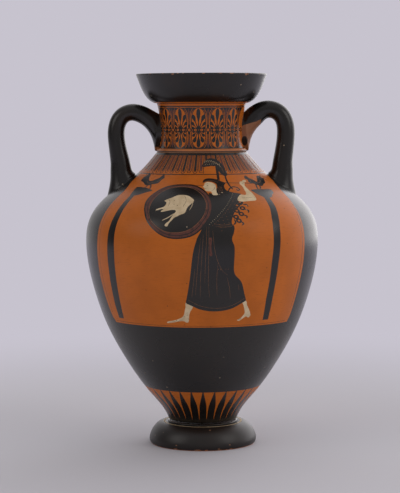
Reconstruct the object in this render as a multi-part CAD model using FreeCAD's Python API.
"""A two-handled fired-clay amphora with an echinus mouth, a concave neck and a thick disc foot.

The vase is made the way a potter makes it: each part is thrown or rolled on its own, and the
parts are joined leather-hard with slip. The joints are real ones: the mouth sits on a bevel, the
neck stands in a socket in the shoulder, the two halves of the body meet on a scarf, and the body
ends in a stub that sits in the foot. Each handle is a bent roll of clay, pressed against the
neck and the shoulder, with a collar of soft clay worked round each root.

Frame: millimetres, +Z up along the axis of the vase, origin in the centre of the resting face.
The handles stand at -X and +X, and the front of the vase faces -Y.
"""

import FreeCAD
import Part

import os

Vector = FreeCAD.Vector

# Driving dimensions.
HEIGHT = 430.0
BELLY_RADIUS = 134.5
BELLY_HEIGHT = 233.0
LIP_RADIUS = 75.5
LIP_WIDTH = 6.0
NECK_BORE_RADIUS = 43.0
FOOT_RADIUS = 62.5
WALL = 6.0

# Heights of the joints between the parts.
FOOT_TOP = 25.0
BODY_SEAM = 150.0
SHOULDER_TOP = 339.5
NECK_TOP = 396.0

# The body stands in the foot on a stub, and a narrow fillet covers the joint.
STUB_RADIUS = 35.0
STUB_DEPTH = 5.0
FLOOR_HEIGHT = 38.6
FILLET_HEIGHT = 1.6
FILLET_INNER_RADIUS = 38.4
FILLET_TOP_RADIUS = 39.2
FILLET_RADIUS = 40.6

# The neck stands in a socket in the shoulder, and a moulded ring covers the joint.
SOCKET_RADIUS = 46.5
SOCKET_DEPTH = 4.5
RING_HEIGHT = 5.0
RING_BASE_RADIUS = 51.4
RING_RADIUS = 52.2
RING_TOP_RADIUS = 50.0

# The joint faces of the mouth and of the two body halves are bevels, higher on the inside.
NECK_BEVEL = 4.0
SEAM_BEVEL = 5.0

# The foot rests on a flat ring and is hollow beneath.
REST_OUTER_RADIUS = 60.5
REST_INNER_RADIUS = 50.0
HOLLOW_HEIGHT = 13.0
FOOT_TOP_RADIUS = 45.0

# Edges of the lip: the outer and the inner corner are rounded off.
LIP_ROUND = 1.2

# Outlines of the outside, from the bottom up, as (radius, height).
FOOT_OUTLINE = [
    (REST_OUTER_RADIUS, 0.0),
    (FOOT_RADIUS, 4.2),
    (FOOT_RADIUS - 1.3, 11.0),
    (FOOT_RADIUS - 5.1, 18.0),
    (FOOT_RADIUS - 11.1, FOOT_TOP - 1.6),
    (FOOT_TOP_RADIUS, FOOT_TOP),
]
BODY_OUTLINE = [
    (FILLET_TOP_RADIUS, FOOT_TOP + FILLET_HEIGHT),
    (42.4, 34.5),
    (61.8, 60.0),
    (89.8, 100.0),
    (BELLY_RADIUS - 23.5, 140.0),
    (BELLY_RADIUS - 8.6, 183.0),
    (BELLY_RADIUS, BELLY_HEIGHT),
    (BELLY_RADIUS - 3.6, 262.0),
    (118.0, 282.0),
    (94.0, 301.0),
    (69.5, 320.0),
    (57.4, 333.5),
    (52.4, SHOULDER_TOP),
]
NECK_OUTLINE = [
    (49.4, SHOULDER_TOP + RING_HEIGHT),
    (48.2, 356.0),
    (48.0, 370.0),
    (49.4, 386.0),
    (51.6, NECK_TOP),
]
MOUTH_OUTLINE = [
    (51.6, NECK_TOP),
    (58.6, NECK_TOP + 2.4),
    (63.4, NECK_TOP + 6.8),
    (67.4, NECK_TOP + 13.0),
    (71.4, NECK_TOP + 22.0),
    (LIP_RADIUS, HEIGHT - LIP_ROUND),
]

# Outlines of the inside that don't follow the outside, as (radius, height).
FLOOR_OUTLINE = [(14.0, FLOOR_HEIGHT), (34.0, FLOOR_HEIGHT + 4.4)]
DISH_OUTLINE = [
    (NECK_BORE_RADIUS, NECK_TOP + NECK_BEVEL),
    (51.0, NECK_TOP + 6.4),
    (59.8, NECK_TOP + 12.6),
    (65.6, NECK_TOP + 22.0),
    (LIP_RADIUS - LIP_WIDTH - 0.6, HEIGHT - LIP_ROUND),
]
HOLLOW_OUTLINE = [(REST_INNER_RADIUS, 0.0), (46.4, 5.4), (32.0, 10.6), (0.0, HOLLOW_HEIGHT)]

# How thick the body's wall is at some heights, as (height, thickness), and which points of the
# outline the inside follows.
WALL_THICKNESS = [(FOOT_TOP, 9.0), (60.0, 7.5), (110.0, WALL), (260.0, WALL - 0.5), (HEIGHT, WALL)]
FOLLOWED = slice(2, -2)

# Each handle's centre line, as (radius, height, half thickness, half width), from the neck to the
# shoulder. The first and last stations lie inside the wall.
HANDLE_LEFT = [
    (43.5, 368.4, 10.8, 11.6),
    (54.0, 375.6, 10.8, 11.4),
    (68.0, 382.9, 10.4, 11.0),
    (82.0, 386.0, 9.8, 10.8),
    (93.2, 380.4, 9.8, 10.8),
    (98.5, 368.0, 10.0, 10.8),
    (98.4, 352.0, 10.1, 11.0),
    (95.4, 334.0, 11.1, 11.6),
    (93.1, 318.0, 12.1, 12.4),
    (93.2, 303.0, 12.3, 12.8),
    (94.0, 289.0, 12.4, 13.0),
]
HANDLE_RIGHT = [
    (43.5, 370.0, 10.6, 11.6),
    (54.0, 378.4, 10.6, 11.4),
    (66.0, 386.0, 10.4, 11.0),
    (79.0, 389.2, 10.2, 10.8),
    (91.2, 383.6, 10.2, 10.8),
    (97.2, 370.0, 10.4, 10.8),
    (97.2, 352.0, 10.6, 11.0),
    (94.8, 334.0, 11.2, 11.6),
    (93.0, 318.0, 12.1, 12.4),
    (93.2, 303.0, 12.3, 12.8),
    (94.0, 289.0, 12.4, 13.0),
]

# The collars of soft clay round the handle roots. Each section is (radius, height) of its point
# inside the handle's arch, (radius, height) of its point outside it, and its half width. The first
# section lies inside the roll and the last inside the wall.
NECK_COLLAR = [
    ((72.6, 374.0), (67.0, 391.6), 9.8),
    ((65.2, 368.4), (58.6, 388.6), 11.2),
    ((58.6, 359.6), (53.4, 387.4), 12.0),
    ((55.2, 349.0), (50.8, 386.2), 13.0),
    ((54.2, 338.0), (48.4, 385.2), 14.4),
    ((46.0, 331.0), (42.0, 384.4), 16.0),
]
SHOULDER_COLLAR = [
    ((82.6, 326.0), (104.0, 325.0), 11.2),
    ((80.4, 318.4), (106.0, 310.0), 13.0),
    ((77.6, 316.2), (106.8, 300.4), 14.8),
    ((74.2, 315.4), (110.2, 290.8), 17.4),
    ((71.0, 310.0), (109.5, 282.6), 18.6),
]


def at(radius, height):
    """A point of a profile. Profiles lie in the half plane behind the axis, clear of the handles."""
    return Vector(0.0, radius, height)


def line(*points):
    """Straight edges through profile points."""
    return [Part.LineSegment(a, b).toShape() for a, b in zip(points, points[1:])]


def arc(start, middle, end):
    """One round edge through three profile points."""
    return [Part.Arc(start, middle, end).toShape()]


def smooth(points):
    """One smooth curve through points."""
    curve = Part.BSplineCurve()
    curve.interpolate(points)
    return curve


def smooth_edge(outline):
    """The smooth edge of an outline given as (radius, height) pairs."""
    return smooth([at(*point) for point in outline]).toShape()


def stretch(curve, low, high):
    """The edge of a rising curve between two heights, with its lower and its upper end."""
    ends = []
    for height in (low, high):
        level = Part.LineSegment(at(-1.0, height), at(2.0 * BELLY_RADIUS, height)).toShape()
        meeting = curve.toShape().distToShape(level)[1][0][0]
        ends.append(curve.parameter(meeting))
    return curve.toShape(*ends), curve.value(ends[0]), curve.value(ends[1])


def turned(edges):
    """The solid that a closed profile makes round the axis."""
    wire = Part.Wire(Part.__sortEdges__(edges))
    return Part.Face(wire).revolve(Vector(0, 0, 0), Vector(0, 0, 1), 360.0)


def thickness(height):
    """The wall's thickness at a height, from WALL_THICKNESS."""
    for (z0, t0), (z1, t1) in zip(WALL_THICKNESS, WALL_THICKNESS[1:]):
        if height <= z1:
            return t0 + (t1 - t0) * (height - z0) / (z1 - z0)
    return WALL_THICKNESS[-1][1]


def inset(curve, point):
    """The point on the inside of the wall that faces a point on the outside."""
    tangent = curve.tangent(curve.parameter(point))[0]
    inward = Vector(0.0, -tangent.z, tangent.y)
    return point + inward * thickness(point.z)


def body_curves():
    """The outside and the inside curve of the body. The inside starts above the floor."""
    outside = smooth([at(*point) for point in BODY_OUTLINE])
    inner = [at(*point) for point in FLOOR_OUTLINE]
    inner += [inset(outside, at(*point)) for point in BODY_OUTLINE[FOLLOWED]]
    inner.append(at(NECK_BORE_RADIUS, SHOULDER_TOP - SOCKET_DEPTH))
    return outside, smooth(inner)


def lower_body(outside, inside):
    """The bowl that carries the rays: from the stub in the foot up to the seam."""
    fillet_top = FOOT_TOP + FILLET_HEIGHT
    stub_bottom = FOOT_TOP - STUB_DEPTH
    outer_edge, outer_low, outer_high = stretch(outside, fillet_top, BODY_SEAM)
    inner_edge, inner_low, inner_high = stretch(inside, FLOOR_HEIGHT, BODY_SEAM + SEAM_BEVEL)
    underside = line(
        inner_low,
        at(0.0, inner_low.z),
        at(0.0, stub_bottom),
        at(STUB_RADIUS, stub_bottom),
        at(STUB_RADIUS, FOOT_TOP),
        at(FILLET_INNER_RADIUS, FOOT_TOP),
        at(FILLET_INNER_RADIUS, fillet_top),
        outer_low,
    )
    return turned([outer_edge, inner_edge] + line(outer_high, inner_high) + underside)


def upper_body(outside, inside):
    """The belly and shoulder in one thrown ring, with the socket for the neck at the top."""
    seat = SHOULDER_TOP - SOCKET_DEPTH
    outer_edge, outer_low, outer_high = stretch(outside, BODY_SEAM, SHOULDER_TOP)
    inner_edge, inner_low, inner_high = stretch(inside, BODY_SEAM + SEAM_BEVEL, seat)
    socket = line(inner_high, at(SOCKET_RADIUS, seat), at(SOCKET_RADIUS, SHOULDER_TOP), outer_high)
    return turned([outer_edge, inner_edge] + line(outer_low, inner_low) + socket)


def neck():
    """A concave tube with a straight bore. Its base fills the socket and carries the ring."""
    seat = SHOULDER_TOP - SOCKET_DEPTH
    low, high = at(*NECK_OUTLINE[0]), at(*NECK_OUTLINE[-1])
    inner_and_base = line(
        high,
        at(NECK_BORE_RADIUS, NECK_TOP + NECK_BEVEL),
        at(NECK_BORE_RADIUS, seat),
        at(SOCKET_RADIUS, seat),
        at(SOCKET_RADIUS, low.z),
        low,
    )
    return turned([smooth_edge(NECK_OUTLINE)] + inner_and_base)


def neck_ring():
    """The moulding round the joint of neck and shoulder."""
    top = SHOULDER_TOP + RING_HEIGHT
    low, high = at(RING_BASE_RADIUS, SHOULDER_TOP), at(RING_TOP_RADIUS, top)
    bulge = at(RING_RADIUS, SHOULDER_TOP + 0.46 * RING_HEIGHT)
    inner = line(high, at(SOCKET_RADIUS, top), at(SOCKET_RADIUS, SHOULDER_TOP), low)
    return turned(arc(low, bulge, high) + inner)


def mouth():
    """The echinus mouth: a rounded base that flares to a flat lip."""
    dish_low, dish_high = at(*DISH_OUTLINE[0]), at(*DISH_OUTLINE[-1])
    base, side_high = at(*MOUTH_OUTLINE[0]), at(*MOUTH_OUTLINE[-1])
    flat_outer = at(side_high.y - LIP_ROUND, HEIGHT)
    flat_inner = at(dish_high.y + LIP_ROUND, HEIGHT)
    corner = 0.3 * LIP_ROUND
    lip = arc(side_high, at(side_high.y - corner, HEIGHT - corner), flat_outer)
    lip += line(flat_outer, flat_inner)
    lip += arc(flat_inner, at(dish_high.y + corner, HEIGHT - corner), dish_high)
    sides = [smooth_edge(MOUTH_OUTLINE), smooth_edge(DISH_OUTLINE)]
    return turned(sides + lip + line(dish_low, base))


def foot():
    """A thick rounded disc with a socket on top for the body's stub and a hollow beneath."""
    socket_floor = FOOT_TOP - STUB_DEPTH
    top = line(
        at(FOOT_TOP_RADIUS, FOOT_TOP),
        at(STUB_RADIUS, FOOT_TOP),
        at(STUB_RADIUS, socket_floor),
        at(0.0, socket_floor),
        at(0.0, HOLLOW_HEIGHT),
    )
    rest = line(at(REST_INNER_RADIUS, 0.0), at(REST_OUTER_RADIUS, 0.0))
    return turned([smooth_edge(FOOT_OUTLINE), smooth_edge(HOLLOW_OUTLINE)] + top + rest)


def foot_fillet():
    """The narrow ring in the angle between body and foot."""
    top = FOOT_TOP + FILLET_HEIGHT
    low, high = at(FILLET_RADIUS - 0.4, FOOT_TOP), at(FILLET_TOP_RADIUS, top)
    bulge = at(FILLET_RADIUS, FOOT_TOP + 0.5 * FILLET_HEIGHT)
    inner = line(high, at(FILLET_INNER_RADIUS, top), at(FILLET_INNER_RADIUS, FOOT_TOP), low)
    return turned(arc(low, bulge, high) + inner)


def section(under, over, half_width):
    """An elliptical section of a handle, between two points of the plane that splits the handle."""
    centre = (under + over) * 0.5
    half_height = (over - under).Length * 0.5
    in_plane = (over - under).normalize()
    across = Vector(0.0, 1.0, 0.0)
    along = across.cross(in_plane)
    place = FreeCAD.Matrix(
        across.x * half_width, in_plane.x * half_height, along.x, centre.x,
        across.y * half_width, in_plane.y * half_height, along.y, centre.y,
        across.z * half_width, in_plane.z * half_height, along.z, centre.z,
    )
    return Part.Wire(Part.Circle().toShape().transformGeometry(place).Edges)


def handle_roll(stations):
    """The bent roll of a handle on the +X side, square to its centre line at each station."""
    centre_line = smooth([Vector(r, 0.0, z) for r, z, _, _ in stations])
    sections = []
    for r, z, half_thick, half_wide in stations:
        centre = Vector(r, 0.0, z)
        tangent = centre_line.tangent(centre_line.parameter(centre))[0]
        outward = Vector(-tangent.z, 0.0, tangent.x) * half_thick
        sections.append(section(centre - outward, centre + outward, half_wide))
    return Part.makeLoft(sections, True, False)


def root_collar(sections):
    """The collar of soft clay round a handle's root on the +X side."""
    wires = []
    for under, over, half_width in sections:
        wires.append(section(Vector(under[0], 0.0, under[1]), Vector(over[0], 0.0, over[1]), half_width))
    return Part.makeLoft(wires, True, False)


def trimming_solids(outside):
    """What the handles are cut back to: the body, the neck and its ring, all filled in."""
    edge, low, high = stretch(outside, FOOT_TOP + FILLET_HEIGHT, SHOULDER_TOP)
    body = turned([edge] + line(high, at(0.0, high.z), at(0.0, low.z), low))
    core_height = NECK_TOP - BELLY_HEIGHT
    core = Part.makeCylinder(NECK_BORE_RADIUS + 1.0, core_height, Vector(0, 0, BELLY_HEIGHT))
    return [body, core, neck(), neck_ring()]


def handle_parts(stations, trims):
    """A handle and its neck and shoulder collars, trimmed to the vase and to each other."""
    roll = handle_roll(stations).cut(trims)
    neck_collar = root_collar(NECK_COLLAR).cut(trims + [roll])
    shoulder_collar = root_collar(SHOULDER_COLLAR).cut(trims + [roll])
    return {"": roll, "_neck_collar": neck_collar, "_shoulder_collar": shoulder_collar}


def largest_solid(shape):
    """The main solid of a cut, without the slivers it may leave."""
    return max(shape.Solids, key=lambda solid: solid.Volume)


def main():
    outside, inside = body_curves()
    nodes = {
        "foot": foot(),
        "foot_fillet": foot_fillet(),
        "lower_body": lower_body(outside, inside),
        "upper_body": upper_body(outside, inside),
        "neck_ring": neck_ring(),
        "neck": neck(),
        "mouth": mouth(),
    }
    trims = trimming_solids(outside)
    for side, turn, stations in (("left", 180.0, HANDLE_LEFT), ("right", 0.0, HANDLE_RIGHT)):
        for suffix, shape in handle_parts(stations, trims).items():
            nodes["handle_" + side + suffix] = shape.rotated(Vector(0, 0, 0), Vector(0, 0, 1), turn)
    os.makedirs("parts", exist_ok=True)
    for name, shape in nodes.items():
        solid = largest_solid(shape)
        print(name, "valid", solid.isValid(), "volume", round(solid.Volume / 1000.0, 2), "cm3")
        solid.exportStep("parts/" + name + ".step")


main()
